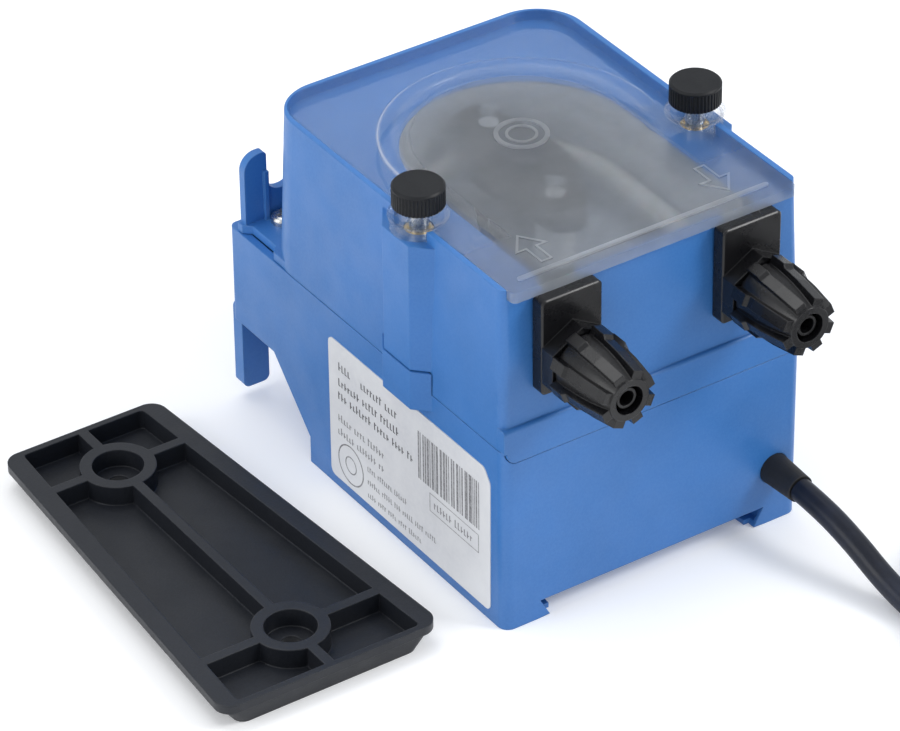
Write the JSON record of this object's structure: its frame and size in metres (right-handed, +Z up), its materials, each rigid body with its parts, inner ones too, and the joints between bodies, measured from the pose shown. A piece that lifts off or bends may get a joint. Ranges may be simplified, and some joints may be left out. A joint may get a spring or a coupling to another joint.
{
  "type": "peristaltic pump",
  "caption": "Compact mains-powered peristaltic dosing pump in a blue two-part housing with a clear cover, thumbscrews, hose nuts, cable and a loose slide-on wall plate.",
  "frame": {"origin": "on the floor, on the centre line of the underside channel, at mid-length of the base housing", "axes": "+X to the right seen from the hose side, +Y from the hose side to the rear, +Z up"},
  "size_m": [0.2632, 0.2483, 0.1084],
  "materials": {
    "blue_housing": "satin blue moulded ABS with a very fine grain",
    "clear_cover": "clear moulded polycarbonate, lightly frosted",
    "black_knob": "satin black nylon",
    "black_fitting": "semi-gloss black glass-filled polypropylene",
    "dark_plate": "charcoal moulded nylon",
    "steel": "zinc-plated steel",
    "motor_steel": "drawn steel can",
    "brass": "machined brass",
    "silicone_hose": "translucent silicone",
    "rotor_plastic": "dark brown-black acetal",
    "roller_plastic": "natural acetal",
    "gear_plastic": "natural nylon",
    "gearbox_plastic": "dark grey moulded plastic",
    "terminal_plastic": "white polyamide",
    "cable_jacket": "satin black PVC",
    "sleeve_rubber": "matt black rubber",
    "core_insulation": "coloured PVC core insulation with tinned ferrules",
    "label_film": "pale grey printed film"
  },
  "bodies": {
    "housing": {"base_housing": "blue_housing", "upper_housing": "blue_housing", "threaded_inserts": "brass", "hose_fitting_left": "black_fitting", "hose_fitting_right": "black_fitting", "pump_hose": "silicone_hose", "hose_clips": "steel", "rotor_bush": "brass", "gearbox_case": "gearbox_plastic", "motor_can": "motor_steel", "motor_screws": "steel", "housing_screws": "steel", "terminal_block": "terminal_plastic", "cable_sleeve": "sleeve_rubber", "mains_cable": "cable_jacket", "mains_cable_coil": "cable_jacket", "mains_cable_tail": "cable_jacket", "cable_cores": "core_insulation", "label_plate": "label_film"},
    "cover": {"clear_cover": "clear_cover"},
    "knob_left": {"knob_left": "black_knob", "knob_stud_left": "steel"},
    "knob_right": {"knob_right": "black_knob", "knob_stud_right": "steel"},
    "nut_left": {"hose_nut_left": "black_fitting"},
    "nut_right": {"hose_nut_right": "black_fitting"},
    "rotor": {"rotor_carrier": "rotor_plastic", "roller_pins": "steel", "output_shaft": "steel", "rotor_screw": "steel", "drive_gear": "gear_plastic"},
    "roller_a": {"roller_a": "roller_plastic"},
    "roller_b": {"roller_b": "roller_plastic"},
    "pinion": {"motor_pinion": "steel"},
    "plate": {"mounting_plate": "dark_plate"}
  },
  "joints": [
    {"name": "cover_lift", "type": "slide", "parent": "housing", "child": "cover", "axis": [0, 0, 1], "range_m": [0, 0.03]},
    {"name": "knob_left_turn", "type": "hinge", "parent": "cover", "child": "knob_left", "pos_m": [-0.0413, -0.021, 0.1], "axis": [0, 0, 1], "continuous": true},
    {"name": "knob_right_turn", "type": "hinge", "parent": "cover", "child": "knob_right", "pos_m": [0.0413, -0.021, 0.1], "axis": [0, 0, 1], "continuous": true},
    {"name": "nut_left_turn", "type": "hinge", "parent": "housing", "child": "nut_left", "pos_m": [-0.0267, -0.08, 0.0776], "axis": [0, -1, 0], "continuous": true},
    {"name": "nut_right_turn", "type": "hinge", "parent": "housing", "child": "nut_right", "pos_m": [0.0267, -0.08, 0.0776], "axis": [0, -1, 0], "continuous": true},
    {"name": "rotor_spin", "type": "hinge", "parent": "housing", "child": "rotor", "pos_m": [0, -0.005, 0.08], "axis": [0, 0, 1], "continuous": true},
    {"name": "roller_a_spin", "type": "hinge", "parent": "rotor", "child": "roller_a", "pos_m": [0.00253, 0.01302, 0.08], "axis": [0, 0, 1], "continuous": true},
    {"name": "roller_b_spin", "type": "hinge", "parent": "rotor", "child": "roller_b", "pos_m": [-0.00253, -0.02302, 0.08], "axis": [0, 0, 1], "continuous": true},
    {"name": "pinion_spin", "type": "hinge", "parent": "housing", "child": "pinion", "pos_m": [0, -0.03, 0.06], "axis": [0, 0, 1], "continuous": true},
    {"name": "plate_slide", "type": "slide", "parent": "housing", "child": "plate", "axis": [0, -1, 0], "range_m": [0, 0.12]}
  ],
  "couplings": [
    {"joint": "roller_a_spin", "follows": "rotor_spin", "ratio": -4.64},
    {"joint": "roller_b_spin", "follows": "rotor_spin", "ratio": -4.64},
    {"joint": "pinion_spin", "follows": "rotor_spin", "ratio": -4}
  ]
}
